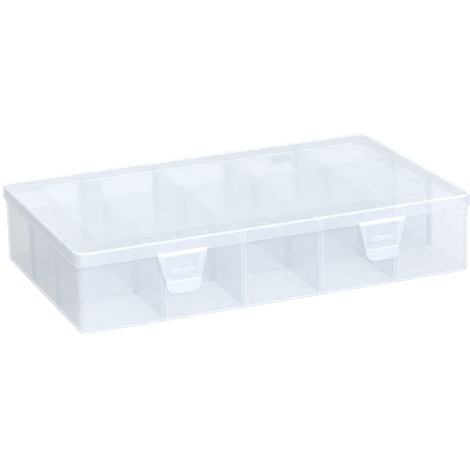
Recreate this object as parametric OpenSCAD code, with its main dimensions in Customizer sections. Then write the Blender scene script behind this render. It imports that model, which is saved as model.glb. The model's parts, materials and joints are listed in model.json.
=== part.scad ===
// Parts sorting tray: a shallow clear box with fifteen compartments, a hinged
// lid and two snap latches. All sizes are in millimetres.
// The origin is the middle of the underside, +X runs along the length,
// the latches face -Y and +Z is up.

/* [Overall] */
// Length over the lid
lid_length = 275; // [230:1:340]
// Depth over the lid, front to back
lid_depth = 164; // [136:1:200]
// Height from the underside to the top of the lid
total_height = 54; // [50:1:68]

/* [Tray] */
// Thickness of the tray's walls
tray_wall = 1.5; // [1.2:0.1:2]
// Thickness of the tray's floor
floor_thickness = 1.5; // [1.2:0.1:2]
// Radius of the tray's upright corners
tray_corner = 6.4; // [5:0.1:9]
// Radius of the edge between the floor and the walls
base_round = 1.8; // [1.6:0.1:2.6]

/* [Lid] */
// Thickness of the lid's top
lid_thickness = 1.4; // [1.2:0.1:2]
// Thickness of the lid's skirt
skirt_thickness = 1.3; // [1:0.1:1.6]
// Height of the skirt, from the top of the lid down
skirt_height = 9; // [7:0.5:11]
// Radius of the edge round the lid's top
lid_round = 1.1; // [0.6:0.1:1.2]
// Gap between the skirt and the tray, each side
lid_gap = 0.5; // [0.4:0.1:0.8]
// Gap between the tray's rim and the lid
lid_seat = 0.1; // [0.05:0.05:0.3]
// Width of the clear border round the lid's sunk panel
panel_border = 22; // [16:1:28]
// How far the panel is sunk below the border
panel_sink = 0.6; // [0.4:0.1:0.8]
// Corner radius of the panel
panel_corner = 3; // [2:0.5:8]

/* [Dividers] */
// Columns of compartments along the length
columns = 5; // [3:1:6]
// Thickness of a short cross divider
cross_thickness = 1.2; // [1:0.1:1.5]
// Thickness of a long divider
long_thickness = 1.4; // [1.2:0.1:1.8]
// Gap between a divider and the lid's panel
divider_headroom = 0.6; // [0.4:0.1:2]
// Gap between a divider and the slot that holds it, each side
slot_gap = 0.2; // [0.1:0.05:0.3]
// Gap between a divider and the wall or floor that it meets
end_gap = 0.25; // [0.2:0.05:0.4]
// Thickness of a guide rib
rib_thickness = 1.2; // [1:0.1:1.6]
// How far a guide rib stands out
rib_depth = 2; // [1.5:0.1:2.5]
// Radius of a divider's upper corners
divider_corner = 1.5; // [1:0.1:3]

/* [Latches] */
// Distance from the middle of the tray to the middle of a latch
latch_offset = 69; // [56:1:84]
// Width of a latch at its hinge
latch_width = 32; // [27:1:39]
// Width of a latch above its rounded foot
latch_foot_width = 22.5; // [19:0.5:26]
// Length of a latch below its hinge
latch_length = 25.5; // [22:0.5:30]
// Radius of a latch's lower corners
latch_corner = 5; // [4:0.5:6]
// Thickness of a latch's plate
latch_plate = 1.1; // [0.9:0.1:1.4]
// How far the rim of a latch stands out in front of its plate
latch_rim = 0.6; // [0.4:0.1:0.8]
// Width of the flexible web that a latch turns on
web_diameter = 1.8; // [1.5:0.1:2.2]
// Gap round the web
web_gap = 0.06; // [0.03:0.01:0.09]
// How far a latch's hook reaches in under the catch
hook_grip = 0.9; // [0.6:0.1:1]
// Width of the hook and of the catch
catch_width = 14; // [10:1:18]

/* [Rear hinge] */
// Distance from the middle of the tray to the middle of a rear hinge
hinge_offset = 72; // [60:1:90]
// Diameter of the rod that the lid's knuckle snaps on to
rod_diameter = 3; // [2.5:0.1:3.6]
// Gap between the rod and the knuckle, all round
rod_gap = 0.08; // [0.04:0.01:0.1]
// Length of the knuckle
knuckle_length = 12; // [9:1:16]
// Wall of the knuckle
knuckle_wall = 1.3; // [1.1:0.1:1.5]
// Thickness of an ear that holds the rod
ear_thickness = 2; // [1.6:0.1:2.6]

/* [Hidden] */
$fn = 48;
eps = 0.01;
rows = 3;
row_names = ["front", "middle", "back"];

tray_length = lid_length - 2 * (skirt_thickness + lid_gap);
tray_depth = lid_depth - 2 * (skirt_thickness + lid_gap);
rim_z = total_height - lid_thickness - lid_seat;
skirt_z = total_height - skirt_height;
inner_length = tray_length - 2 * tray_wall;
inner_depth = tray_depth - 2 * tray_wall;
round_step = 0.8;
inner_round = base_round - round_step;
lid_corner = tray_corner + lid_gap + skirt_thickness;
panel_underside = total_height - lid_thickness - panel_sink;

// The dividers split the tray into equal compartments.
divider_low = floor_thickness + end_gap;
divider_top = panel_underside - divider_headroom;
rib_drop = 1.5;
rib_top = divider_top - rib_drop;
channel_depth = (inner_depth - (rows - 1) * long_thickness) / rows;
cell_length = (inner_length - (columns - 1) * cross_thickness) / columns;
function row_y(row) = (row - (rows - 1) / 2) * (channel_depth + long_thickness);
function long_y(i) = (i - (rows - 2) / 2) * (channel_depth + long_thickness);
function cross_x(i) = (i - (columns - 2) / 2) * (cell_length + cross_thickness);

// Latch: heights and reaches are taken from the axis of its flexible web, which
// lies just in front of the skirt's lower edge.
web_r = web_diameter / 2;
web_stand_off = 0.65;
web_lift = 0.3;
web_y = -lid_depth / 2 - web_stand_off;
web_z = skirt_z + web_lift;
latch_inside = 0.35;
latch_front = latch_inside - latch_plate - latch_rim;
latch_top = -0.2;
taper_top = -1.5;
lip_kick = 1.2;
lip_height = 6;
sunk_margin = 1.5;
sunk_top = -2;
sunk_low = lip_height + sunk_margin - latch_length;

// The hook on a latch, and the catch on the tray that it reaches under.
catch_low = -10.1;
catch_height = 2.2;
catch_edge = 0.7;
catch_gap = 0.3;
catch_reach = -lid_depth / 2 + skirt_thickness + lid_gap - web_y;
hook_height = 1.9;
hook_edge = 0.8;
hook_clearance = 0.8;
hook_tip = catch_reach - hook_clearance;
window_width = 6.5;
window_height = 1.4;
window_lift = 0.6;

// Rear hinge: the axis is behind and below the skirt.
rod_r = rod_diameter / 2;
knuckle_r = rod_r + rod_gap + knuckle_wall;
knuckle_overlap = 0.6;
knuckle_drop = 0.3;
hinge_y = lid_depth / 2 + knuckle_r - knuckle_overlap;
hinge_z = skirt_z - knuckle_r - knuckle_drop;
mouth_width = 0.74 * rod_diameter;
arm_height = 3.5;
arm_depth = 0.8;
ear_wall = 1.1;
ear_r = rod_r + ear_wall;
ear_gap = 0.3;
ear_foot = 4;

function cross_name(row, i) = str("divider_", row_names[row], "_", i + 1);

// A closed block with upright corners of radius r and a rounded lower edge of
// radius e. Two slabs cross in the middle and a quarter turn fills each corner.
module rounded_block(length, depth, height, r, e) {
    module slab(width, run) {
        rotate([90, 0, 90])
            linear_extrude(run, center = true) slab_profile(width, height, e);
    }
    slab(depth, length - 2 * r);
    rotate(90) slab(length, depth - 2 * r);
    for (sx = [-1, 1], sy = [-1, 1])
        translate([sx * (length / 2 - r), sy * (depth / 2 - r), 0])
            rotate(sx > 0 ? (sy > 0 ? 0 : -90) : (sy > 0 ? 90 : 180))
                rotate_extrude(angle = 90) corner_profile(r, height, e);
}

// Upright section across a block, with both lower corners rounded.
module slab_profile(width, height, e) {
    translate([-width / 2, e]) square([width, height - e]);
    translate([-width / 2 + e, 0]) square([width - 2 * e, height]);
    for (s = [-1, 1]) translate([s * (width / 2 - e), e]) circle(e);
}

// Half section turned to make a block's corner.
module corner_profile(r, height, e) {
    translate([0, e]) square([r, height - e]);
    square([r - e, height]);
    translate([r - e, e]) intersection() {
        circle(e);
        translate([0, -e]) square(e);
    }
}

// An upright prism with rounded corners.
module rounded_prism(length, depth, height, r) {
    linear_extrude(height) {
        square([length - 2 * r, depth], center = true);
        square([length, depth - 2 * r], center = true);
        for (sx = [-1, 1], sy = [-1, 1])
            translate([sx * (length / 2 - r), sy * (depth / 2 - r)]) circle(r);
    }
}

// Two ribs with a slot between them, standing out along +Y from the origin.
module rib_pair(divider, height) {
    for (s = [-1, 1])
        translate([s * (divider / 2 + slot_gap + rib_thickness / 2), rib_depth / 2, height / 2])
            cube([rib_thickness, rib_depth + 2 * eps, height], center = true);
}

module tray() {
    rib_height = rib_top - floor_thickness;
    color([0.87, 0.91, 0.95, 0.45]) {
        difference() {
            rounded_block(tray_length, tray_depth, rim_z, tray_corner, base_round);
            translate([0, 0, floor_thickness])
                rounded_block(inner_length, inner_depth, rim_z, tray_corner - tray_wall,
                              inner_round);
        }
        for (i = [0 : columns - 2], side = [0, 180])
            rotate(side)
                translate([cross_x(i), -inner_depth / 2, floor_thickness])
                    rib_pair(cross_thickness, rib_height);
        for (i = [0 : rows - 2], side = [-90, 90])
            rotate(side)
                translate([long_y(i), -inner_length / 2, floor_thickness])
                    rib_pair(long_thickness, rib_height);
        for (s = [-1, 1]) translate([s * latch_offset, web_y, web_z]) catch_bar();
        for (s = [-1, 1]) translate([s * hinge_offset, hinge_y, hinge_z]) hinge_rod();
    }
}

// The bar on the tray's front that a latch hooks under.
module catch_bar() {
    rotate([90, 0, 90])
        linear_extrude(catch_width - 2, center = true)
            polygon([[catch_reach + eps, catch_low], [hook_tip - hook_grip, catch_low],
                     [hook_tip - hook_grip, catch_low + catch_edge],
                     [catch_reach + eps, catch_low + catch_height]]);
}

// The rod of one rear hinge and the two ears that hold it.
module hinge_rod() {
    wall = tray_depth / 2 - hinge_y - eps;
    inside = knuckle_length / 2 + ear_gap;
    rotate([0, 90, 0]) cylinder(r = rod_r, h = 2 * inside + ear_thickness, center = true);
    for (s = [-1, 1])
        translate([s * (inside + ear_thickness / 2), 0, 0])
            rotate([90, 0, 90])
                linear_extrude(ear_thickness, center = true) {
                    circle(ear_r);
                    polygon([[wall, -ear_r - ear_foot], [wall, ear_r], [0, ear_r], [0, -ear_r]]);
                }
}

module lid() {
    panel_length = lid_length - 2 * panel_border;
    panel_depth = lid_depth - 2 * panel_border;
    cavity_length = lid_length - 2 * skirt_thickness;
    cavity_depth = lid_depth - 2 * skirt_thickness;
    color([0.90, 0.93, 0.97, 0.5]) {
        difference() {
            union() {
                difference() {
                    translate([0, 0, total_height])
                        mirror([0, 0, 1])
                            rounded_block(lid_length, lid_depth, skirt_height, lid_corner,
                                          lid_round);
                    translate([0, 0, skirt_z - 1])
                        rounded_prism(cavity_length, cavity_depth,
                                      skirt_height - lid_thickness + 1,
                                      lid_corner - skirt_thickness);
                }
                translate([0, 0, panel_underside])
                    rounded_prism(panel_length + 2, panel_depth + 2, lid_thickness,
                                  panel_corner + 1);
            }
            translate([0, 0, total_height - panel_sink])
                rounded_prism(panel_length, panel_depth, 2, panel_corner);
        }
        for (s = [-1, 1]) translate([s * hinge_offset, hinge_y, hinge_z]) knuckle();
    }
}

// A clip on an arm below the lid's skirt that snaps on to the rod.
module knuckle() {
    skirt = lid_depth / 2 - hinge_y;
    arm_top = skirt_z - hinge_z + arm_height;
    rotate([90, 0, 90])
        difference() {
            linear_extrude(knuckle_length, center = true) {
                circle(knuckle_r);
                polygon([[skirt - eps, 0], [skirt - eps, arm_top],
                         [skirt + arm_depth, arm_top], [knuckle_r, rod_r], [knuckle_r, 0]]);
            }
            cylinder(r = rod_r + rod_gap, h = knuckle_length + 2, center = true);
            translate([0, -knuckle_r, 0])
                cube([mouth_width, 2 * knuckle_r, knuckle_length + 2], center = true);
        }
}

// Front outline of a latch: a taper that ends in two rounded corners. The hinge
// is along the top.
function latch_outline() =
    let (top = latch_width / 2, foot = latch_foot_width / 2, r = latch_corner,
         arc = [for (a = [0 : 15 : 90])
                [foot - r + r * cos(a), -latch_length + r - r * sin(a)]])
    concat([[top, latch_top], [top, taper_top]], arc,
           [for (i = [len(arc) - 1 : -1 : 0]) [-arc[i][0], arc[i][1]]],
           [[-top, taper_top], [-top, latch_top]]);

// Side section of a latch, from the hinge down to the kicked-out lip.
module latch_section() {
    foot = -latch_length - 1;
    lip = latch_front - lip_kick;
    lip_top = -latch_length + lip_height;
    polygon([[latch_inside, latch_top], [latch_front, latch_top], [latch_front, lip_top + 1],
             [lip, foot + 2], [lip, foot], [lip + latch_plate + 0.3, foot],
             [latch_inside, lip_top]]);
}

// The hook behind a latch, with its working face on top.
module hook() {
    top = catch_low - catch_gap;
    rotate([90, 0, 90])
        linear_extrude(catch_width, center = true)
            polygon([[latch_inside - eps, top], [hook_tip, top], [hook_tip, top - hook_edge],
                     [latch_inside - eps, top - hook_height]]);
}

module latch() {
    cut = 10;
    color([0.93, 0.95, 0.98, 0.6])
        difference() {
            union() {
                intersection() {
                    rotate([90, 0, 0])
                        linear_extrude(cut, center = true) polygon(latch_outline());
                    rotate([90, 0, 90])
                        linear_extrude(latch_width + 2, center = true) latch_section();
                }
                hook();
            }
            // The sunk face inside the rim.
            translate([-(latch_foot_width + 1) / 2, latch_front + latch_rim - cut, sunk_low])
                cube([latch_foot_width + 1, cut, sunk_top - sunk_low]);
            // The window above the hook.
            translate([-window_width / 2, -cut / 2, catch_low + window_lift])
                cube([window_width, cut, window_height]);
            rotate([0, 90, 0])
                cylinder(r = web_r + web_gap, h = latch_width + 2, center = true);
        }
}

// The flexible web between the skirt and a latch, a bead along the skirt's edge,
// cut flat where it meets the skirt.
module latch_web() {
    color("white")
        difference() {
            rotate([0, 90, 0]) cylinder(r = web_r, h = latch_width, center = true);
            translate([-latch_width, web_stand_off, -web_diameter])
                cube([2 * latch_width, web_diameter, 2 * web_diameter]);
        }
}

module at_latch(side) {
    translate([side * latch_offset, web_y, web_z]) children();
}

// A plate that stands in the XZ plane, with its upper corners rounded and its
// lower corners cut off to clear the rounding between the floor and the walls.
module divider_plate(length, thickness) {
    height = divider_top - divider_low;
    half = length / 2;
    translate([0, 0, divider_low])
        rotate([90, 0, 0])
            linear_extrude(thickness, center = true) {
                polygon([[inner_round - half, 0], [half - inner_round, 0],
                         [half, inner_round], [half, height - divider_corner],
                         [half - divider_corner, height], [divider_corner - half, height],
                         [-half, height - divider_corner], [-half, inner_round]]);
                for (s = [-1, 1])
                    translate([s * (half - divider_corner), height - divider_corner])
                        circle(divider_corner);
            }
}

module long_divider(i) {
    color([0.89, 0.92, 0.96, 0.55])
        translate([0, long_y(i), 0]) {
            divider_plate(inner_length - 2 * end_gap, long_thickness);
            for (k = [0 : columns - 2], side = [0, 180])
                rotate(side)
                    translate([cross_x(k), long_thickness / 2, divider_low])
                        rib_pair(cross_thickness, rib_top - divider_low);
        }
}

module cross_divider(row, i) {
    color([0.90, 0.93, 0.96, 0.55])
        translate([cross_x(i), row_y(row), 0])
            rotate(90) divider_plate(channel_depth - 2 * end_gap, cross_thickness);
}

tray();
lid();
at_latch(-1) latch();  // latch_left
at_latch(1) latch();  // latch_right
at_latch(-1) latch_web();  // latch_web_left
at_latch(1) latch_web();  // latch_web_right
long_divider(0);  // long_divider_front
long_divider(1);  // long_divider_back
for (row = [0 : rows - 1], i = [0 : columns - 2])
    cross_divider(row, i);
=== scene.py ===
"""Parts sorting tray: a clear moulded polypropylene box with fifteen compartments,
a hinged lid and two snap latches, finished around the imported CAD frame."""

import json
import math

import bmesh
import bpy
from mathutils import Matrix, Vector
from mathutils.bvhtree import BVHTree


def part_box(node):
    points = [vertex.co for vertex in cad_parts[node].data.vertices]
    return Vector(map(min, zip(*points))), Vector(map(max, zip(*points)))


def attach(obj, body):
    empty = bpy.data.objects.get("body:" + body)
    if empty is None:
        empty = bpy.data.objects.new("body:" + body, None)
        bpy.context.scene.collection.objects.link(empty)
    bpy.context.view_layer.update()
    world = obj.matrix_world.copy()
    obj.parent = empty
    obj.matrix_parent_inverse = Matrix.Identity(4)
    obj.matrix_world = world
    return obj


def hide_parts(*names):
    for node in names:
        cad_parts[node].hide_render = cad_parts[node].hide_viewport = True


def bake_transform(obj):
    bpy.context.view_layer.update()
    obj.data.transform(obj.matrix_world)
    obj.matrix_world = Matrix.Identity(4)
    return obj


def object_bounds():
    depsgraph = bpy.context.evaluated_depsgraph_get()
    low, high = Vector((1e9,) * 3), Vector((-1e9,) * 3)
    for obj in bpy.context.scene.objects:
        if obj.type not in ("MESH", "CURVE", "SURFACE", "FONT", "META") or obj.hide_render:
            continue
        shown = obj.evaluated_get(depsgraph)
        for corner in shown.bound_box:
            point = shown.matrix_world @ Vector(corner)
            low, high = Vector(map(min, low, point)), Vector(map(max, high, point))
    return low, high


bl_info = {
    "name": "Parts Sorting Tray",
    "version": (1, 0, 0),
    "blender": (4, 5, 0),
    "location": "View3D > Sidebar > Sorting Tray",
    "description": "Builds a clear polypropylene sorting tray around its CAD frame",
    "category": "Object",
}

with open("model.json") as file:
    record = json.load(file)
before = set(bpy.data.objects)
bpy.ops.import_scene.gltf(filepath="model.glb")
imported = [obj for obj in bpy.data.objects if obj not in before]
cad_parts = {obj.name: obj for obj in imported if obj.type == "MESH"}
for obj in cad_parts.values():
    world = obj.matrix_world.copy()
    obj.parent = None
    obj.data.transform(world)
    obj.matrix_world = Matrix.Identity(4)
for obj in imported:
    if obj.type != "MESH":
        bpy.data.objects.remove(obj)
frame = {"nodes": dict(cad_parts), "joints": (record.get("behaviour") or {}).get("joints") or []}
CAD_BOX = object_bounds()
MM = 0.001
SIDES = ("left", "right")
FLOOR_HALF = 6.0  # half the floor's width, in metres
HAIR = 0.05  # a gap that keeps two faces apart without being seen, in millimetres
THIN, THICK = 3.0, 10.0  # plastic this deep starts to whiten, and is as white as it gets
STEP_WALL = 1.0  # plastic at the step between the lid's border and its panel, in millimetres
BITE = 0.3  # how far a part that is moulded on runs into the wall, in millimetres
DEPTH = "plastic_depth"
ARM_START, ARM_END = 25, 139  # where a knuckle's ring runs into its arm, in degrees
EDGE_SHARES = (0, 0.17, 0.46, 1)  # where points lie on a rounded edge, as shares of its radius
EDGE_ROW = 0.1  # from a latch's top to the row of points in its rounded upper edge, in mm
HEAD_ON = 0.039  # share of light that polypropylene, IOR 1.49, mirrors straight on
CROSS_NODES = sorted(n for n in frame["nodes"] if n.startswith("divider_"))
LONG_NODES = ("long_divider_front", "long_divider_back")
JOINTS = {j["name"]: j for j in frame["joints"]}


# ---------------------------------------------------------------- units and colours


def linear(hex_colour):
    """An sRGB hex colour as the linear red, green and blue that Blender works in."""
    parts = [int(hex_colour[i : i + 2], 16) / 255 for i in (0, 2, 4)]
    return tuple(c / 12.92 if c <= 0.04045 else ((c + 0.055) / 1.055) ** 2.4 for c in parts)


def length_mm(name, description, default, low, high):
    """A size in millimetres."""
    return bpy.props.FloatProperty(
        name=name, description=description, default=default, min=low, max=high, precision=2
    )


def colour(name, description, hex_colour):
    """A colour that a user may change."""
    return bpy.props.FloatVectorProperty(
        name=name, description=description, subtype="COLOR", size=3, min=0, max=1,
        default=linear(hex_colour)
    )


def factor(name, description, default):
    """A level from none to twice full."""
    return bpy.props.FloatProperty(
        name=name, description=description, subtype="FACTOR", default=default, min=0, max=2
    )


def watts(name, description, default):
    """The power of a lamp in watts."""
    return bpy.props.FloatProperty(
        name=name, description=description, unit="POWER", default=default, min=0, max=100
    )


class TraySizes(bpy.types.PropertyGroup):
    """Sizes of the tray and its guide ribs."""

    wall: length_mm("Wall", "Thickness of the walls", 1.5, 1.0, 2.5)
    floor: length_mm("Floor", "Thickness of the floor", 1.5, 1.0, 2.5)
    corner: length_mm("Corner", "Radius of the upright corners", 6.4, 4.0, 10.0)
    base_round: length_mm("Base round", "Radius between floor and walls, outside", 1.8, 1.0, 3.0)
    inner_round: length_mm("Inner round", "Radius between floor and walls, inside", 1.0, 0.5, 2.0)
    edge: length_mm("Edge", "Radius of the rim and of the ribs' edges", 0.35, 0.1, 0.6)
    rib: length_mm("Rib", "Thickness of a guide rib", 1.2, 0.8, 2.0)
    rib_depth: length_mm("Rib depth", "How far a guide rib stands out", 2.0, 1.0, 3.0)
    slot_gap: length_mm("Slot gap", "Gap between a divider and its slot, each side", 0.2, 0.1, 0.4)
    rib_drop: length_mm("Rib drop", "How far the ribs stop below the dividers' tops", 1.5, 0.5, 5.0)
    long_divider: length_mm("Long divider", "Thickness of a long divider", 1.4, 1.2, 1.8)
    divider_corner: length_mm("Divider corner", "Radius of a divider's upper corners", 1.5, 1.0,
                              3.0)
    divider_edge: length_mm("Divider edge", "Radius of a divider's edges", 0.25, 0.1, 0.5)


class LidSizes(bpy.types.PropertyGroup):
    """Sizes of the lid."""

    top: length_mm("Top", "Thickness of the top", 1.4, 1.0, 2.5)
    skirt: length_mm("Skirt", "Thickness of the skirt", 1.3, 0.8, 2.0)
    skirt_height: length_mm("Skirt height", "Height of the skirt", 9.0, 6.0, 14.0)
    gap: length_mm("Gap", "Gap between skirt and tray", 0.5, 0.2, 1.0)
    edge: length_mm("Edge", "Radius round the top's outer edge", 1.1, 0.5, 2.0)
    border: length_mm("Border", "Width of the clear border", 22.0, 12.0, 30.0)
    sink: length_mm("Sink", "How far the panel is sunk", 0.6, 0.3, 1.0)
    panel_corner: length_mm("Panel corner", "Corner radius of the panel", 3.0, 1.0, 10.0)
    lip_edge: length_mm("Lip edge", "Radius of the skirt's lower edge and of the panel's step",
                        0.3, 0.1, 0.6)
    fillet: length_mm("Fillet", "Radius inside, between top and skirt", 0.8, 0.4, 1.5)
    mark: length_mm("Ejector mark", "Diameter of an ejector pin's mark", 3.2, 1.0, 6.0)
    mark_height: length_mm("Mark height", "How far an ejector mark stands out", 0.3, 0.1, 0.5)
    mark_edge: length_mm("Mark edge", "Radius of an ejector mark's edge", 0.08, 0.02, 0.2)
    inner_marks: length_mm("Inner marks", "From the middle to the inner ejector marks", 9.0, 5.0,
                           20.0)
    outer_marks: length_mm("Outer marks", "From the middle to the outer ejector marks", 71.0,
                           50.0, 90.0)
    mark_shift: length_mm("Mark shift", "From the border's middle to the marks along it", 4.0,
                          0.0, 6.0)
    side_marks: length_mm("Side marks", "From the middle to the marks at the two ends", 5.0,
                          0.0, 20.0)


class LatchSizes(bpy.types.PropertyGroup):
    """Sizes of the latches and their flexible webs."""

    width: length_mm("Width", "Width at the hinge", 32.0, 24.0, 40.0)
    foot: length_mm("Foot", "Width above the rounded foot", 22.5, 16.0, 28.0)
    length: length_mm("Length", "Length below the hinge", 25.5, 20.0, 32.0)
    corner: length_mm("Corner", "Radius of the lower corners", 5.0, 3.0, 8.0)
    plate: length_mm("Plate", "Thickness of the plate", 1.1, 0.8, 1.6)
    rim: length_mm("Rim", "How far the rim stands out", 0.6, 0.3, 1.0)
    lip: length_mm("Lip", "How far the lip is kicked out", 1.2, 0.5, 2.0)
    sunk_side: length_mm("Sunk side", "Half width of the sunk face", 11.75, 8.0, 14.0)
    sunk_low: length_mm("Sunk end", "From the hinge to the lower end of the sunk face", 18.0,
                        12.0, 22.0)
    inside: length_mm("Inside", "From the hinge's axis back to the latch's inner face", 0.35,
                      0.2, 0.6)
    top: length_mm("Top", "From the hinge down to the latch's upper edge", 0.55, 0.3, 1.5)
    taper: length_mm("Taper", "From the hinge down to where the sides begin to taper", 1.5, 0.5,
                     4.0)
    sunk_top: length_mm("Sunk top", "From the hinge to the upper end of the sunk face", 2.0, 1.5,
                        5.0)
    edge: length_mm("Edge", "Radius round the latch's outer edge", 0.35, 0.1, 0.5)
    lip_height: length_mm("Lip height", "Height of the kicked-out lip", 7.0, 4.0, 10.0)
    lip_thin: length_mm("Lip taper", "How much thinner the lip ends", 0.3, 0.0, 0.5)
    web_thick: length_mm("Web thickness", "Thickness of the flexible web", 1.6, 1.0, 2.4)
    web_high: length_mm("Web height", "Height of the flexible web", 1.84, 1.2, 2.6)
    web_out: length_mm("Web out", "How far the web stands out past the hinge", 0.1, 0.0, 0.4)
    web_lift: length_mm("Web lift", "How far the web's middle is above the hinge", 0.12, 0.0,
                        0.4)
    web_edge: length_mm("Web edge", "Radius at the web's ends", 0.2, 0.05, 0.4)
    fold_above: length_mm("Fold above", "Height above the hinge from which the web follows the "
                          "lid", 0.5, 0.2, 1.0)
    fold_below: length_mm("Fold below", "Depth below the hinge from which the web follows the "
                          "latch", 0.6, 0.2, 1.0)


class CatchSizes(bpy.types.PropertyGroup):
    """Sizes of the hooks on the latches and the catch bars on the tray that they reach under.
    Heights are measured down from the latch's hinge."""

    width: length_mm("Width", "Width of a hook", 14.0, 10.0, 18.0)
    drop: length_mm("Drop", "How far below the hinge a catch bar's underside is", 10.1, 8.0, 14.0)
    height: length_mm("Height", "Height of a catch bar at the wall", 2.2, 1.5, 3.0)
    free: length_mm("Free edge", "Height of a catch bar at its free edge", 0.7, 0.4, 1.0)
    gap: length_mm("Gap", "Gap between a catch bar and a hook", 0.3, 0.1, 0.6)
    hook: length_mm("Hook", "Height of a hook at the latch", 1.9, 1.2, 3.0)
    tip: length_mm("Tip", "Height of a hook at its tip", 0.8, 0.4, 1.2)
    clearance: length_mm("Clearance", "Gap between a hook's tip and the wall", 0.8, 0.4, 1.2)
    bar_short: length_mm("Bar ends", "How much shorter a bar is than a hook, each end", 1.0,
                         0.0, 3.0)
    bar_edge: length_mm("Bar edge", "Radius of a bar's edges", 0.1, 0.05, 0.3)
    hook_edge: length_mm("Hook edge", "Radius of a hook's edges", 0.12, 0.05, 0.3)
    window: length_mm("Window", "Width of the window above a hook", 6.5, 4.0, 10.0)
    window_height: length_mm("Window height", "Height of the window", 1.4, 0.8, 2.0)
    window_lift: length_mm("Window lift", "Height of the window above the catch", 0.6, 0.3, 1.5)


class HingeSizes(bpy.types.PropertyGroup):
    """Sizes of the two rear hinges."""

    offset: length_mm("Offset", "From the middle of the tray to a hinge", 72.0, 60.0, 90.0)
    rod: length_mm("Rod", "Diameter of the rod", 3.0, 2.5, 3.6)
    gap: length_mm("Gap", "Gap between rod and knuckle", 0.08, 0.04, 0.1)
    wall: length_mm("Wall", "Wall of the knuckle", 1.3, 1.1, 1.5)
    length: length_mm("Length", "Length of the knuckle", 12.0, 9.0, 16.0)
    mouth: length_mm("Mouth", "Width of the slot that snaps on to the rod", 2.22, 1.8, 2.6)
    arm: length_mm("Arm", "Height of the knuckle's arm on the skirt", 3.5, 2.0, 5.0)
    arm_out: length_mm("Arm out", "How far the arm's top stands off the skirt", 0.8, 0.5, 1.5)
    arm_lift: length_mm("Arm lift", "From the skirt's lower edge up to the arm", 0.35, 0.3, 1.0)
    edge: length_mm("Edge", "Radius of the edges", 0.2, 0.05, 0.4)
    ear: length_mm("Ear", "Thickness of an ear that holds the rod", 2.0, 1.6, 2.6)
    ear_wall: length_mm("Ear wall", "Plastic round the rod in an ear", 1.1, 0.8, 1.5)
    ear_gap: length_mm("Ear gap", "Gap between an ear and the knuckle", 0.3, 0.1, 0.6)
    ear_foot: length_mm("Ear foot", "How far an ear runs down the wall", 4.0, 2.0, 8.0)


class PlasticColours(bpy.types.PropertyGroup):
    """Colours of the moulded plastic."""

    clear: colour("Clear", "Light that passes straight through one surface", "FDFDFE")
    tray: colour("Tray", "Clouding of the tray", "F1F5F8")
    lid: colour("Lid", "Clouding of the lid's border", "FAFCFF")
    panel: colour("Panel", "Clouding of the lid's panel", "F4F9FD")
    divider: colour("Dividers", "Clouding of the dividers", "F1F5F8")
    latch: colour("Latches", "Clouding of the latches", "EFF4F8")
    web: colour("Webs", "Polypropylene whitened by bending", "FBFCFF")
    edge: colour("Edges", "Plastic that is seen edge on, as in rims, ribs and corners", "E6EBF2")


class StageSettings(bpy.types.PropertyGroup):
    """Camera, floor and light."""

    azimuth: bpy.props.FloatProperty(
        name="Azimuth", description="Direction the camera looks from", subtype="ANGLE",
        default=math.radians(-22.28))
    elevation: bpy.props.FloatProperty(
        name="Elevation", description="Height of the camera above the horizon", subtype="ANGLE",
        default=math.radians(18.9))
    roll: bpy.props.FloatProperty(
        name="Roll", description="Turn of the camera about its own axis", subtype="ANGLE",
        default=math.radians(-1.28))
    distance: bpy.props.FloatProperty(
        name="Distance", description="Distance from the camera to the tray", unit="LENGTH",
        default=1.362)
    aim_up: length_mm("Aim", "Height of the view's middle above the tray's base", 19.7, -50, 80)
    lens: bpy.props.FloatProperty(
        name="Lens", description="Focal length", unit="CAMERA", default=154.7, min=20, max=300)
    floor: colour("Floor", "Colour of the floor", "959698")
    glow: factor("Glow", "Light that the floor gives off, so that it stays even and pale", 0.8)
    tent: colour("Tent", "Colour of the light tent", "F9FCFD")
    front: factor("Front", "Level of the tent in front", 0.95)
    back: factor("Back", "Level of the tent at the sides and behind", 0.6)
    roof: factor("Roof", "Level that is added overhead", 0.68)
    shade: factor("Shade", "Level that is taken away at the right", 0.25)
    top_light: watts("Top light", "Power of the softbox above", 3.0)
    front_light: watts("Front light", "Power of the softbox in front", 16.0)


# ---------------------------------------------------------------- meshes


def arc(centre, radius, start, end, steps):
    """Points along an arc, with angles in degrees."""
    angles = [math.radians(start + (end - start) * i / steps) for i in range(steps + 1)]
    return [(centre[0] + radius * math.cos(a), centre[1] + radius * math.sin(a)) for a in angles]


def between(start, end, steps):
    """Evenly spaced values from start up to, but without, end."""
    return [start + (end - start) * i / steps for i in range(steps)]


def ease(value, start, end):
    """A smooth step from 0 at start to 1 at end."""
    t = min(max((value - start) / (end - start), 0), 1)
    return t * t * (3 - 2 * t)


def circle(centre, radius, steps=24):
    """Points around a circle."""
    return arc(centre, radius, 0, 360 - 360 / steps, steps - 1)


def new_piece(name, mesh_data, plastics, body, nodes, sharp_deg=32, most_mm=THICK):
    """Turns a bmesh into a finished piece on its CAD body."""
    bmesh.ops.remove_doubles(mesh_data, verts=mesh_data.verts, dist=1e-7)
    bmesh.ops.dissolve_degenerate(mesh_data, edges=mesh_data.edges, dist=1e-7)
    bmesh.ops.recalc_face_normals(mesh_data, faces=mesh_data.faces)
    mesh = bpy.data.meshes.new(name)
    mesh_data.to_mesh(mesh)
    mesh_data.free()
    piece = bpy.data.objects.new(name, mesh)
    bpy.context.scene.collection.objects.link(piece)
    for plastic in plastics:
        mesh.materials.append(bpy.data.materials[plastic])
    measure_depth(mesh, most_mm)
    finish_shading(piece, sharp_deg)
    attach(piece, body)
    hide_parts(*nodes)
    return piece


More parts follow.
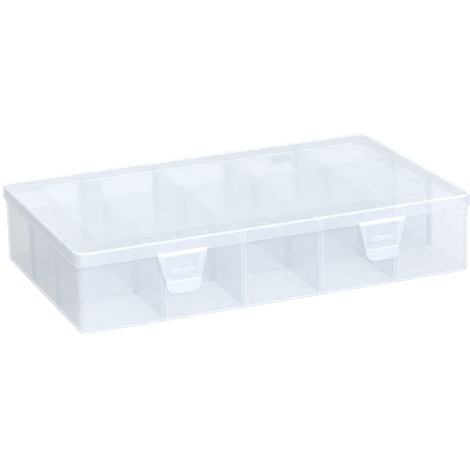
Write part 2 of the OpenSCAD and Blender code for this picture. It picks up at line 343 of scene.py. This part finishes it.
def measure_depth(mesh, most_mm, slant_deg=46, around=8):
    """Stores how far light can run through the plastic behind each face, in millimetres. A wall
    gives a little more than its thickness, a rounded corner more, and a rim or a rib the most."""
    tree = BVHTree.FromPolygons([v.co for v in mesh.vertices],
                                [p.vertices for p in mesh.polygons])
    lean, slant = math.cos(math.radians(slant_deg)), math.sin(math.radians(slant_deg))
    turns = [math.tau * i / around for i in range(around)]
    depths = []
    for face in mesh.polygons:
        inward = -face.normal
        side = inward.orthogonal().normalized()
        up = inward.cross(side)
        start = face.center + inward * 0.01 * MM
        longest = 0.0
        for turn in turns:
            across = side * math.cos(turn) + up * math.sin(turn)
            run = tree.ray_cast(start, inward * lean + across * slant, most_mm * MM)[3]
            longest = max(longest, most_mm if run is None else run / MM)
        depths.append(longest)
    mesh.attributes.new(DEPTH, "FLOAT", "FACE").data.foreach_set("value", depths)


def finish_shading(piece, sharp_deg):
    """Smooth shading with flat walls kept flat and real corners kept sharp."""
    mesh = piece.data
    mesh.shade_smooth()
    mesh.set_sharp_from_angle(angle=math.radians(sharp_deg))
    weighted = piece.modifiers.new("Flat walls", "WEIGHTED_NORMAL")
    weighted.keep_sharp = True
    weighted.weight = 100


def loft(rings, closed_ends=(True, True)):
    """A skin over rings that have the same number of points, in millimetres."""
    skin = bmesh.new()
    rows = [[skin.verts.new(Vector(p) * MM) for p in ring] for ring in rings]
    count = len(rows[0])
    for low, high in zip(rows, rows[1:]):
        for i in range(count):
            j = (i + 1) % count
            skin.faces.new((low[i], low[j], high[j], high[i]))
    if closed_ends[0]:
        skin.faces.new(rows[0][::-1])
    if closed_ends[1]:
        skin.faces.new(rows[-1])
    return skin


def rib_bump(middle, thickness, depth, edge):
    """Outline of one rib as (distance along the wall, distance out of it)."""
    half = thickness / 2
    r = min(edge, depth / 2) if depth > 0 else 0
    tip = arc((half - edge, depth - r), 1, 90, 0, 3)
    right = [(half - edge + edge * (x - (half - edge)), depth - r + r * (y - (depth - r)))
             for x, y in tip]
    right.append((half, 0))
    left = [(-x, y) for x, y in reversed(right)]
    return [(middle + x, y) for x, y in left + right]


def box_outline(half_x, half_y, radius, ribs_x=(), ribs_y=(), thickness=1, depth=0, edge=0.3):
    """A rounded rectangle, counter-clockwise, with ribs standing inwards from its sides."""
    corner_steps = 10
    points = []
    sides = ((half_x, half_y, ribs_x), (half_y, half_x, ribs_y)) * 2
    for turn, (half_run, out, ribs) in enumerate(sides):
        angle = math.radians(90 * turn)
        side = []
        for middle in sorted(ribs):
            side += [(s, -out + d) for s, d in rib_bump(middle, thickness, depth, edge)]
        side += arc((half_run - radius, -out + radius), radius, -90, 0, corner_steps)
        for x, y in side:
            points.append((x * math.cos(angle) - y * math.sin(angle),
                           x * math.sin(angle) + y * math.cos(angle)))
    return points


def at_height(outline, z):
    """An outline lifted to a height."""
    return [(x, y, z) for x, y in outline]


def prism(profile, low, high, bevel=0.0):
    """A profile in the YZ plane swept along X, with its end edges rounded."""
    body = loft([[(x, y, z) for y, z in profile] for x in (low, high)])
    bmesh.ops.recalc_face_normals(body, faces=body.faces)
    if bevel:
        ends = [e for e in body.edges if abs(e.verts[0].co.x - e.verts[1].co.x) < 1e-9]
        bmesh.ops.bevel(body, geom=ends, offset=bevel * MM, segments=2, profile=0.5,
                        affect="EDGES")
    return body


def unite(main, parts, operation="UNION"):
    """Fuses bmesh parts into a bmesh, or cuts them out of it."""
    objects = []
    for source in [main, *parts]:
        bmesh.ops.remove_doubles(source, verts=source.verts, dist=1e-7)
        bmesh.ops.recalc_face_normals(source, faces=source.faces)
        mesh = bpy.data.meshes.new("work")
        source.to_mesh(mesh)
        source.free()
        work = bpy.data.objects.new("work", mesh)
        bpy.context.scene.collection.objects.link(work)
        objects.append(work)
    for part in objects[1:]:
        cut = objects[0].modifiers.new("Join", "BOOLEAN")
        cut.operation = operation
        cut.solver = "EXACT"
        cut.object = part
    graph = bpy.context.evaluated_depsgraph_get()
    result = bmesh.new()
    result.from_mesh(objects[0].evaluated_get(graph).to_mesh())
    for work in objects:
        mesh = work.data
        bpy.data.objects.remove(work)
        bpy.data.meshes.remove(mesh)
    return result


# ---------------------------------------------------------------- materials


def add(tree, kind, inputs=None, **settings):
    """Adds one node with its settings, its input values and its links."""
    node = tree.nodes.new(kind)
    for name, value in settings.items():
        setattr(node, name, value)
    for name, value in (inputs or {}).items():
        if isinstance(value, bpy.types.NodeSocket):
            tree.links.new(value, node.inputs[name])
        else:
            node.inputs[name].default_value = value
    return node


def per_mm(size):
    """The texture scale that makes one feature this many millimetres wide."""
    return 1 / (size * MM)


def moulded_polypropylene(name, tint, milk, edge, clouding, roughness, ripple_mm=30,
                          flow_mm=22):
    """Clear injection-moulded polypropylene. It is never quite water clear: thin walls are
    slightly milky, and edges, ribs and corners, where light runs a long way through the plastic,
    are white. clouding is the share of light that is scattered in each millimetre. The melt's
    flow leaves it a little uneven, and the cooled skin has slow, shallow waves."""
    material = bpy.data.materials.new(name)
    material.use_nodes = True
    tree = material.node_tree
    tree.nodes.clear()
    place = add(tree, "ShaderNodeTexCoord").outputs["Object"]
    waves = add(tree, "ShaderNodeTexNoise",
                {"Vector": place, "Scale": per_mm(ripple_mm), "Detail": 2.0, "Roughness": 0.4})
    skin = add(tree, "ShaderNodeBump",
               {"Height": waves.outputs["Fac"], "Strength": 0.1, "Distance": MM}
               ).outputs["Normal"]
    flow = add(tree, "ShaderNodeTexNoise",
               {"Vector": place, "Scale": per_mm(flow_mm), "Detail": 3.0, "Roughness": 0.6})
    uneven = add(tree, "ShaderNodeMapRange",
                 {"Value": flow.outputs["Fac"], "From Min": 0.3, "From Max": 0.7,
                  "To Min": 0.95 * clouding, "To Max": 1.05 * clouding})
    depth = add(tree, "ShaderNodeAttribute", attribute_name=DEPTH)
    path = add(tree, "ShaderNodeMath", {0: depth.outputs["Fac"], 1: uneven.outputs["Result"]},
               operation="MULTIPLY")
    passed = add(tree, "ShaderNodeMath", {0: math.e, 1: path.outputs["Value"]}, operation="POWER")
    clear_share = add(tree, "ShaderNodeMath", {0: 1.0, 1: passed.outputs["Value"]},
                      operation="DIVIDE")
    clear = add(tree, "ShaderNodeBsdfTransparent", {"Color": (*tint, 1)}).outputs["BSDF"]
    gathered = add(tree, "ShaderNodeMapRange",
                   {"Value": depth.outputs["Fac"], "From Min": THIN, "From Max": THICK})
    white = add(tree, "ShaderNodeMixRGB",
                {"Fac": gathered.outputs["Result"], "Color1": (*milk, 1),
                 "Color2": (*edge, 1)}).outputs["Color"]
    lit = add(tree, "ShaderNodeBsdfDiffuse", {"Color": white, "Normal": skin})
    glow = add(tree, "ShaderNodeBsdfTranslucent", {"Color": white, "Normal": skin})
    cloud = add(tree, "ShaderNodeMixShader",
                {"Fac": 0.5, 1: lit.outputs["BSDF"], 2: glow.outputs["BSDF"]})
    body = add(tree, "ShaderNodeMixShader",
               {"Fac": clear_share.outputs["Value"], 1: cloud.outputs["Shader"], 2: clear})
    shine = add(tree, "ShaderNodeBsdfGlossy",
                {"Color": (1, 1, 1, 1), "Roughness": roughness, "Normal": skin})
    slant = add(tree, "ShaderNodeLayerWeight", {"Blend": 0.5, "Normal": skin}).outputs["Facing"]
    grazing = add(tree, "ShaderNodeMath", {0: slant, 1: 5.0}, operation="POWER")
    mirrored = add(tree, "ShaderNodeMapRange",
                   {"Value": grazing.outputs["Value"], "To Min": HEAD_ON, "To Max": 1.0})
    surface = add(tree, "ShaderNodeMixShader",
                  {"Fac": mirrored.outputs["Result"], 1: body.outputs["Shader"],
                   2: shine.outputs["BSDF"]})
    add(tree, "ShaderNodeOutputMaterial", {"Surface": surface.outputs["Shader"]})
    return material


# ---------------------------------------------------------------- derived places


def lid_box():
    """Half length, half depth and top of the lid, in millimetres."""
    low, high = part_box("lid")
    return high[0] / MM, -low[1] / MM, high[2] / MM


def tray_box(lid):
    """Half length, half depth and rim height of the tray, in millimetres."""
    low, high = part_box("tray")
    inset = lid.skirt + lid.gap
    return high[0] / MM, lid_box()[1] - inset, high[2] / MM


def middle_of(node, axis):
    """The middle of a CAD node along one axis, in millimetres."""
    low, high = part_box(node)
    return (low[axis] + high[axis]) / 2 / MM


def joint_place(name):
    """Where a joint's axis is, in millimetres."""
    return [c / MM for c in JOINTS[name]["pos_m"]]


def cross_places():
    """Where the cross dividers stand along the length."""
    return sorted(middle_of(n, 0) for n in CROSS_NODES if n.startswith("divider_front"))


def rib_middles(places, divider, tray):
    """The middles of the two ribs at each divider."""
    offset = divider / 2 + tray.slot_gap + tray.rib / 2
    return [p + s * offset for p in places for s in (-1, 1)]


def thickness_of(node, axis):
    """The thickness of a CAD node along one axis, in millimetres."""
    low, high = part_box(node)
    return (high[axis] - low[axis]) / MM


# ---------------------------------------------------------------- operators


class SORTING_TRAY_OT_stage(bpy.types.Operator):
    """Sets the camera, the pale floor and the soft light"""

    bl_idname = "sorting_tray.stage"
    bl_label = "Stage"

    def execute(self, context):
        stage = context.scene.sorting_stage
        self.camera(context, stage)
        self.floor(context, stage)
        self.light(context, stage)
        return {"FINISHED"}

    def camera(self, context, stage):
        """A camera that looks down on the tray's front and left side."""
        back = Vector((math.sin(stage.azimuth) * math.cos(stage.elevation),
                       -math.cos(stage.azimuth) * math.cos(stage.elevation),
                       math.sin(stage.elevation)))
        right = Vector((math.cos(stage.azimuth), math.sin(stage.azimuth), 0))
        up = back.cross(right)
        turn = Matrix.Rotation(stage.roll, 3, back)
        right, up = turn @ right, turn @ up
        data = bpy.data.cameras.new("Camera")
        data.lens = stage.lens
        data.clip_end = 50
        camera = bpy.data.objects.new("Camera", data)
        context.scene.collection.objects.link(camera)
        camera.matrix_world = Matrix.Translation(
            back * stage.distance + up * stage.aim_up * MM
        ) @ Matrix((right, up, back)).transposed().to_4x4()
        context.scene.camera = camera

    def floor(self, context, stage):
        """A pale floor that shows no shadow and lights nothing by itself."""
        plane = bmesh.new()
        bmesh.ops.create_grid(plane, x_segments=1, y_segments=1, size=FLOOR_HALF)
        mesh = bpy.data.meshes.new("floor")
        plane.to_mesh(mesh)
        plane.free()
        floor = bpy.data.objects.new("floor", mesh)
        context.scene.collection.objects.link(floor)
        floor.location.z = CAD_BOX[0][2] - HAIR * MM
        paper = bpy.data.materials.new("matt white paper")
        paper.use_nodes = True
        shader = paper.node_tree.nodes["Principled BSDF"]
        shader.inputs["Base Color"].default_value = (*stage.floor, 1)
        shader.inputs["Roughness"].default_value = 0.9
        shader.inputs["Specular IOR Level"].default_value = 0.1
        shader.inputs["Emission Color"].default_value = (1, 1, 1, 1)
        shader.inputs["Emission Strength"].default_value = stage.glow
        mesh.materials.append(paper)
        floor.visible_diffuse = False
        floor.visible_glossy = False

    def light(self, context, stage):
        """A light tent that is brightest in front and overhead, and two softboxes."""
        scene = context.scene
        scene.view_settings.view_transform = "Standard"
        scene.cycles.max_bounces = 40
        scene.cycles.transmission_bounces = 40
        scene.cycles.diffuse_bounces = 6
        scene.cycles.glossy_bounces = 12
        scene.cycles.transparent_max_bounces = 40
        world = bpy.data.worlds.new("Light tent")
        world.use_nodes = True
        tree = world.node_tree
        tree.nodes.clear()
        place = add(tree, "ShaderNodeTexCoord").outputs["Generated"]
        ways = add(tree, "ShaderNodeSeparateXYZ", {"Vector": place}).outputs
        behind = add(tree, "ShaderNodeMapRange",
                     {"Value": ways["Y"], "From Min": -1.0, "From Max": 0.0,
                      "To Min": stage.front, "To Max": stage.back}).outputs["Result"]
        overhead = add(tree, "ShaderNodeMapRange",
                       {"Value": ways["Z"], "To Max": stage.roof}).outputs["Result"]
        right = add(tree, "ShaderNodeMapRange",
                    {"Value": ways["X"], "From Min": 0.1, "To Max": -stage.shade}
                    ).outputs["Result"]
        level = add(tree, "ShaderNodeMath", {0: behind, 1: overhead}).outputs["Value"]
        total = add(tree, "ShaderNodeMath", {0: level, 1: right}).outputs["Value"]
        light = add(tree, "ShaderNodeBackground", {"Color": (*stage.tent, 1), "Strength": total})
        add(tree, "ShaderNodeOutputWorld", {"Surface": light.outputs["Background"]})
        scene.world = world
        self.softbox(context, "Top softbox", (0, 0.1, 1.2), 0.5, stage.top_light)
        self.softbox(context, "Front softbox", (-0.25, -1.3, 0.55), 0.8, stage.front_light)

    def softbox(self, context, name, place, size, energy):
        """A square light that faces the tray."""
        data = bpy.data.lights.new(name, "AREA")
        data.shape = "SQUARE"
        data.size = size
        data.energy = energy
        box = bpy.data.objects.new(name, data)
        box.location = place
        box.rotation_euler = Vector(place).to_track_quat("Z", "Y").to_euler()
        box.visible_glossy = False
        context.scene.collection.objects.link(box)


class SORTING_TRAY_OT_tray(bpy.types.Operator):
    """Builds the open tray with its guide ribs, catch bars and hinge rods"""

    bl_idname = "sorting_tray.tray"
    bl_label = "Tray"

    def execute(self, context):
        tray, lid = context.scene.sorting_tray, context.scene.sorting_lid
        half_x, half_y, rim = tray_box(lid)
        cross_t = thickness_of(CROSS_NODES[0], 0)
        ribs_x = rib_middles(cross_places(), cross_t, tray)
        ribs_y = rib_middles([middle_of(n, 1) for n in LONG_NODES], tray.long_divider, tray)
        rib_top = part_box(LONG_NODES[0])[1][2] / MM - tray.rib_drop

        def ring(inset, z, depth=0.0):
            radius = max(tray.corner - inset, 0.5)
            return at_height(box_outline(half_x - inset, half_y - inset, radius, ribs_x, ribs_y,
                                         tray.rib, depth, tray.edge), z)

        rings = []
        b = tray.base_round
        for x, z in arc((0, b), b, -90, 0, 6):
            rings.append(ring(b - x, z))
        e = tray.edge
        for x, z in arc((0, rim - e), e, 0, 90, 4):
            rings.append(ring(e - x, z))
        for x, z in arc((0, rim - e), e, 90, 0, 4):
            rings.append(ring(tray.wall - e + x, z))
        rings.append(ring(tray.wall, rib_top))
        rings.append(ring(tray.wall, rib_top, tray.rib_depth - e))
        rings.append(ring(tray.wall, rib_top - e, tray.rib_depth))
        r = tray.inner_round
        for x, z in arc((0, tray.floor + r), r, 0, -90, 5):
            rings.append(ring(tray.wall + r - x, z, max(tray.rib_depth - (r - x), HAIR)))
        body = unite(loft(rings), self.catch_bars(context) + self.hinge_rods(context))
        new_piece("tray_shell", body, ["clear moulded polypropylene"], "tray",
                  ["tray"])
        return {"FINISHED"}

    def catch_bars(self, context):
        """A wedge-shaped bar for each latch, flat underneath."""
        catch = context.scene.sorting_catch
        wall = -tray_box(context.scene.sorting_lid)[1]
        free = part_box("tray")[0][1] / MM
        half = catch.width / 2 - catch.bar_short
        bars = []
        for side in SIDES:
            x, _, z = joint_place(f"latch_{side}_hinge")
            low, top = z - catch.drop, z - catch.drop + catch.height
            profile = [(wall + BITE, low), (free, low), (free, low + catch.free), (wall, top),
                       (wall + BITE, top)]
            bars.append(prism(profile, x - half, x + half, catch.bar_edge))
        return bars

    def hinge_rods(self, context):
        """The two rear rods, each between its ears."""
        size = context.scene.sorting_hinge
        _, y, z = joint_place("lid_hinge")
        wall = tray_box(context.scene.sorting_lid)[1] - BITE
        ear = size.rod / 2 + size.ear_wall
        inside = size.length / 2 + size.ear_gap
        profile = arc((y, z), ear, 90, -90, 12) + [(wall, z - ear - size.ear_foot),
                                                   (wall, z + ear)]
        extras = []
        for x in (-size.offset, size.offset):
            for start in (x - inside - size.ear, x + inside):
                extras.append(prism(profile, start, start + size.ear, size.edge))
            reach = inside + size.ear / 4
            extras.append(prism(circle((y, z), size.rod / 2), x - reach, x + reach))
        return extras


class SORTING_TRAY_OT_lid(bpy.types.Operator):
    """Builds the lid with its skirt, sunk panel and hinge knuckles"""

    bl_idname = "sorting_tray.lid"
    bl_label = "Lid"

    def execute(self, context):
        lid, tray = context.scene.sorting_lid, context.scene.sorting_tray
        half_x, half_y, top = lid_box()
        corner = tray.corner + lid.gap + lid.skirt
        bottom = top - lid.skirt_height
        edge, fillet = lid.lip_edge, lid.fillet

        def ring(inset, z, radius):
            return at_height(box_outline(half_x - inset, half_y - inset, radius), z)

        under = top - lid.top
        step = lid.border - STEP_WALL
        step_corner = lid.panel_corner + STEP_WALL
        rings = [ring(step + edge, under - lid.sink, step_corner)]
        rings += [ring(step, under - lid.sink + edge, step_corner)]
        rings += [ring(step, under, step_corner)]
        inner = corner - lid.skirt
        for x, z in arc((0, under - fillet), fillet, 90, 0, 4):
            rings.append(ring(lid.skirt + fillet - x, z, inner - fillet + x))
        rings.append(ring(lid.skirt, bottom + edge, inner))
        for x, z in arc((0, bottom + edge), edge, 0, -90, 3):
            rings.append(ring(lid.skirt - edge + x, z, inner + edge - x))
        for x, z in arc((0, bottom + edge), edge, -90, 0, 3):
            rings.append(ring(edge - x, z, corner - edge + x))
        e = lid.edge
        for x, z in arc((0, top - e), e, 0, 90, 6):
            rings.append(ring(e - x, z, corner - e + x))
        rings.append(ring(lid.border - edge, top, lid.panel_corner + edge))
        rings.append(ring(lid.border, top - edge * 0.5, lid.panel_corner))
        rings.append(ring(lid.border, top - lid.sink, lid.panel_corner))
        body = loft(rings)
        body = unite(body, self.knuckles(context, bottom, half_y)
                     + self.ejector_marks(lid, half_x, half_y, under))
        body.faces.ensure_lookup_table()
        reach = Vector((half_x, half_y)) - Vector((step, step))
        for face in body.faces:
            middle = face.calc_center_median() / MM
            inside = abs(middle.x) < reach.x and abs(middle.y) < reach.y
            if inside and abs(face.normal.z) > 0.9:
                face.material_index = 1
        new_piece("lid_shell", body,
                  ["clear moulded polypropylene lid", "hazy textured polypropylene"],
                  "lid", ["lid"])
        return {"FINISHED"}

    def ejector_marks(self, lid, half_x, half_y, under):
        """Low round bosses under the clear border, where the mould's ejector pins pushed."""
        along, across = half_x - lid.border / 2, half_y - lid.border / 2 + lid.mark_shift
        places = [(s * x, t * across) for x in (lid.inner_marks, lid.outer_marks)
                  for s in (-1, 1) for t in (-1, 1)]
        places += [(s * along, -s * lid.side_marks) for s in (-1, 1)]
        tip, radius = under - lid.mark_height, lid.mark / 2
        marks = []
        for place in places:
            wide = circle(place, radius)
            marks.append(loft([at_height(circle(place, radius - lid.mark_edge), tip),
                               at_height(wide, tip + lid.mark_edge),
                               at_height(wide, under + lid.top / 2)]))
        return marks

    def knuckles(self, context, bottom, half_y):
        """The two clips below the rear skirt that snap on to the tray's rods."""
        size = context.scene.sorting_hinge
        _, y, z = joint_place("lid_hinge")
        bore = size.rod / 2 + size.gap
        outer = bore + size.wall
        mouth_deg = math.degrees(math.asin(size.mouth / 2 / bore))
        open_deg = math.degrees(math.asin(size.mouth / 2 / outer))
        skirt, top = half_y - BITE, bottom + size.arm
        profile = arc((y, z), outer, -90 + open_deg, ARM_START, 10)
        profile += [(half_y + size.arm_out, top), (skirt, top), (skirt, bottom + size.arm_lift)]
        profile += arc((y, z), outer, ARM_END, 270 - open_deg, 10)
        profile += arc((y, z), bore, 270 - mouth_deg, -90 + mouth_deg, 20)
        return [prism(profile, x - size.length / 2, x + size.length / 2, size.edge)
                for x in (-size.offset, size.offset)]


class SORTING_TRAY_OT_dividers(bpy.types.Operator):
    """Builds the long and the cross dividers"""

    bl_idname = "sorting_tray.dividers"
    bl_label = "Dividers"

    def execute(self, context):
        tray = context.scene.sorting_tray
        plastics = ["clear moulded polypropylene divider"]
        for node in CROSS_NODES:
            new_piece(node.replace("divider", "cross_divider"), self.plate(node, 1, 0, tray),
                      plastics, "tray", [node])
        for node in LONG_NODES:
            new_piece(node + "_plate", self.ribbed(node, tray), plastics, "tray",
                      [node])
        return {"FINISHED"}

    def plate(self, node, run, across, tray, thickness=None):
        """A plate along one axis with rounded edges, rounded upper corners and cut feet."""
        low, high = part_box(node)
        half = (high[run] - low[run]) / 2 / MM
        thick = thickness or (high[across] - low[across]) / MM
        centre_run, centre_across = middle_of(node, run), middle_of(node, across)
        z0, z1 = low[2] / MM, high[2] / MM
        edge, corner, foot = tray.divider_edge, tray.divider_corner, tray.inner_round

        def outline(inset):
            r = corner - inset
            points = [(-half + foot, z0 + inset), (half - foot, z0 + inset),
                      (half - inset, z0 + foot)]
            points += arc((half - corner, z1 - corner), r, 0, 90, 5)
            points += arc((corner - half, z1 - corner), r, 90, 180, 5)
            points += [(-half + inset, z0 + foot)]
            return points

        rings = []
        for a, t in arc((0, 0), edge, 180, 90, 3):
            rings.append((edge - t, -thick / 2 + edge + a))
        rings += [(inset, -t) for inset, t in reversed(rings)]
        placed = []
        for inset, t in rings:
            ring = []
            for s, z in outline(inset):
                point = [0, 0, z]
                point[run] = centre_run + s
                point[across] = centre_across + t
                ring.append(point)
            placed.append(ring)
        return loft(placed)

    def ribbed(self, node, tray):
        """A long divider with pairs of guide ribs on both faces."""
        body = self.plate(node, 0, 1, tray, tray.long_divider)
        y = middle_of(node, 1)
        out = tray.long_divider / 2 + tray.rib_depth
        low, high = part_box(node)
        z0, z1 = low[2] / MM + HAIR, high[2] / MM - tray.rib_drop
        ribs = []
        for x in rib_middles(cross_places(), thickness_of(CROSS_NODES[0], 0), tray):
            left, right = x - tray.rib / 2, x + tray.rib / 2
            outline = [(left, y - out), (right, y - out), (right, y + out), (left, y + out)]
            rib = loft([at_height(outline, z0), at_height(outline, z1)])
            bmesh.ops.recalc_face_normals(rib, faces=rib.faces)
            bmesh.ops.bevel(rib, geom=list(rib.edges), offset=tray.divider_edge * MM,
                            segments=2, profile=0.5, affect="EDGES")
            ribs.append(rib)
        return unite(body, ribs)


class SORTING_TRAY_OT_latches(bpy.types.Operator):
    """Builds the two snap latches"""

    bl_idname = "sorting_tray.latches"
    bl_label = "Latches"

    def execute(self, context):
        size = context.scene.sorting_latch
        for side in SIDES:
            place = joint_place(f"latch_{side}_hinge")
            latch = unite(self.flap(size, place), [self.hook(context, place)])
            latch = unite(latch, [self.window(context, place)], "DIFFERENCE")
            new_piece(f"latch_{side}_flap", latch, ["satin moulded polypropylene"],
                      f"latch_{side}", [f"latch_{side}"], sharp_deg=40,
                      most_mm=6.5)
        return {"FINISHED"}

    def half_width(self, size, height):
        """Half the width at a height: straight, then tapered, then round at the foot."""
        foot_start = size.corner - size.length
        if height >= -size.taper:
            return size.width / 2
        if height >= foot_start:
            share = (height + size.taper) / (foot_start + size.taper)
            return size.width / 2 + (size.foot - size.width) / 2 * share
        drop = foot_start - height
        return size.foot / 2 - size.corner + math.sqrt(max(size.corner**2 - drop**2, 0))

    def kick(self, size, height):
        """How far the lip is bent out at a height."""
        end = size.length - 0.5
        return -size.lip * ease(-height, end - size.lip_height, end)

    def rounding(self, size, x, height, half):
        """How far a face falls back near the outer edge."""
        from_edge = min(half - abs(x), -size.top - height, height + size.length)
        short = max(size.edge - from_edge, 0)
        return size.edge - math.sqrt(max(size.edge**2 - short**2, 0))

    def front_at(self, size, x, height, half):
        """The front face, which is sunk inside the rim."""
        across = ease(size.sunk_side - abs(x), -0.15, 0.35)
        above = ease(height, -size.sunk_low - 0.2, -size.sunk_low + 0.4)
        below = ease(-height, size.sunk_top - 0.2, size.sunk_top + 0.4)
        rim = size.inside - size.plate - size.rim
        sunk = size.rim * across * above * below
        return rim + sunk + self.kick(size, height) + self.rounding(size, x, height, half)

    def back_at(self, size, x, height, half):
        """The back face, which comes forward a little behind the lip."""
        thin = size.lip_thin * ease(-height, size.length - size.lip_height, size.length)
        return (size.inside + self.kick(size, height) - thin
                - self.rounding(size, x, height, half))

    def heights(self, size):
        """Heights of the rows of points, close together where the shape turns."""
        top, low = -size.top, -size.length
        foot_start = low + size.corner
        rows = [top, top - EDGE_ROW, top - size.edge]
        for end in (-size.sunk_top, -size.sunk_low):
            rows += [end + step for step in (0.4, 0.2, 0.0, -0.2)]
        rows += between(-size.sunk_top - 0.4, -size.sunk_low + 0.8, 10) + [-size.sunk_low + 0.8]
        rows += between(-size.sunk_low - 0.6, foot_start, 4)
        rows += [low + size.corner * (1 - math.sin(math.radians(a))) for a in range(6, 90, 7)]
        rows.append(low)
        return sorted(set(round(row, 4) for row in rows), reverse=True)

    def places_across(self, size, half):
        """Places of the points across one row, from left to right."""
        wall = min(size.sunk_side, half - 0.75)
        right = [half - size.edge * share for share in EDGE_SHARES]
        right += [wall + step for step in (0.25, 0.08, -0.12, -0.35)]
        right += [wall * k / 6 for k in range(5, 0, -1)]
        return [-x for x in right] + [0] + right[::-1]

    def flap(self, size, place):
        """The latch's plate as a front and a back sheet joined round their edge."""
        grid = bmesh.new()
        sheets = []
        for depth_at in (self.front_at, self.back_at):
            rows = []
            for height in self.heights(size):
                half = self.half_width(size, height)
                points = [(x, depth_at(size, x, height, half), height)
                          for x in self.places_across(size, half)]
                rows.append([grid.verts.new((Vector(place) + Vector(p)) * MM) for p in points])
            for high, low in zip(rows, rows[1:]):
                for i in range(len(high) - 1):
                    grid.faces.new((high[i], high[i + 1], low[i + 1], low[i]))
            sheets.append(rows)
        front, back = (self.outline(rows) for rows in sheets)
        for i in range(len(front)):
            j = (i + 1) % len(front)
            grid.faces.new((front[i], front[j], back[j], back[i]))
        return grid

    def outline(self, rows):
        """The points round the edge of a sheet, in order."""
        left = [row[0] for row in rows]
        right = [row[-1] for row in rows]
        return left + rows[-1][1:] + right[-2::-1] + rows[0][-2:0:-1]

    def hook(self, context, place):
        """The hook behind the latch that reaches under the catch bar."""
        size, catch = context.scene.sorting_latch, context.scene.sorting_catch
        lid = context.scene.sorting_lid
        x, y, z = place
        root = y + size.inside - BITE
        tip = lid.skirt + lid.gap - lid_box()[1] - catch.clearance
        top = z - catch.drop - catch.gap
        profile = [(root, top), (tip, top), (tip, top - catch.tip), (root, top - catch.hook)]
        return prism(profile, x - catch.width / 2, x + catch.width / 2, catch.hook_edge)

    def window(self, context, place):
        """The slot through the latch above the hook, which frees the hook from the mould."""
        size, catch = context.scene.sorting_latch, context.scene.sorting_catch
        x, y, z = place
        sill = z - catch.drop + catch.window_lift
        head = sill + catch.window_height
        reach = 2 * (size.plate + size.rim)
        profile = [(y - reach, sill), (y + reach, sill), (y + reach, head), (y - reach, head)]
        return prism(profile, x - catch.window / 2, x + catch.window / 2)


class SORTING_TRAY_OT_webs(bpy.types.Operator):
    """Builds the flexible webs between the lid and the latches"""

    bl_idname = "sorting_tray.webs"
    bl_label = "Webs"

    def execute(self, context):
        size = context.scene.sorting_latch
        for side in SIDES:
            x, y, z = joint_place(f"latch_{side}_hinge")
            profile = [(y - size.web_out + across * size.web_thick / 2,
                        z + size.web_lift + up * size.web_high / 2)
                       for across, up in circle((0, 0), 1)]
            web = prism(profile, x - size.width / 2, x + size.width / 2, size.web_edge)
            piece = new_piece(f"latch_web_{side}_fold", web,
                              ["polypropylene whitened by bending"], "lid",
                              [f"latch_web_{side}"], sharp_deg=60)
            self.follow(piece, side, size, (x, y, z))
        return {"FINISHED"}

    def follow(self, piece, side, size, place):
        """Frees a web from its body and bakes its place into its mesh."""
        piece.parent = None
        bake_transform(piece)


class SORTING_TRAY_OT_plastics(bpy.types.Operator):
    """Makes the plastics"""

    bl_idname = "sorting_tray.plastics"
    bl_label = "Plastics"

    def execute(self, context):
        tints = context.scene.sorting_colours
        edge = tints.edge
        kinds = (
            # polished walls, through which the dividers show
            ("clear moulded polypropylene", tints.tray, edge, 0.11, 0.08),
            ("clear moulded polypropylene lid", tints.lid, edge, 0.145, 0.08),
            # fine texture, which blurs what lies below the panel
            ("hazy textured polypropylene", tints.panel, edge, 0.185, 0.35),
            ("clear moulded polypropylene divider", tints.divider, edge, 0.11, 0.1),
            # slightly matt, so that the latches look milkier than the wall behind them
            ("satin moulded polypropylene", tints.latch, edge, 0.26, 0.2),
            # the fold is stretched and looks like a white bead
            ("polypropylene whitened by bending", tints.web, tints.web, 1.5, 0.3),
        )
        for name, milk, edge, clouding, roughness in kinds:
            moulded_polypropylene(name, tints.clear, milk, edge, clouding, roughness)
        return {"FINISHED"}


STEPS = (
    SORTING_TRAY_OT_stage,
    SORTING_TRAY_OT_plastics,
    SORTING_TRAY_OT_tray,
    SORTING_TRAY_OT_dividers,
    SORTING_TRAY_OT_lid,
    SORTING_TRAY_OT_latches,
    SORTING_TRAY_OT_webs,
)


class SORTING_TRAY_PT_panel(bpy.types.Panel):
    """Lists the steps that build the tray"""

    bl_idname = "SORTING_TRAY_PT_panel"
    bl_label = "Sorting Tray"
    bl_space_type = "VIEW_3D"
    bl_region_type = "UI"
    bl_category = "Sorting Tray"

    def draw(self, context):
        for step in STEPS:
            self.layout.operator(step.bl_idname)


GROUPS = {
    "sorting_tray": TraySizes,
    "sorting_lid": LidSizes,
    "sorting_latch": LatchSizes,
    "sorting_catch": CatchSizes,
    "sorting_hinge": HingeSizes,
    "sorting_colours": PlasticColours,
    "sorting_stage": StageSettings,
}
CLASSES = (*GROUPS.values(), *STEPS, SORTING_TRAY_PT_panel)


def register():
    for each in CLASSES:
        bpy.utils.register_class(each)
    for name, group in GROUPS.items():
        setattr(bpy.types.Scene, name, bpy.props.PointerProperty(type=group))


def unregister():
    for name in GROUPS:
        delattr(bpy.types.Scene, name)
    for each in reversed(CLASSES):
        bpy.utils.unregister_class(each)


def main():
    register()
    bpy.ops.sorting_tray.stage()
    bpy.ops.sorting_tray.plastics()
    bpy.ops.sorting_tray.tray()
    bpy.ops.sorting_tray.dividers()
    bpy.ops.sorting_tray.lid()
    bpy.ops.sorting_tray.latches()
    bpy.ops.sorting_tray.webs()
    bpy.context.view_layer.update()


if __name__ == "__main__":
    main()
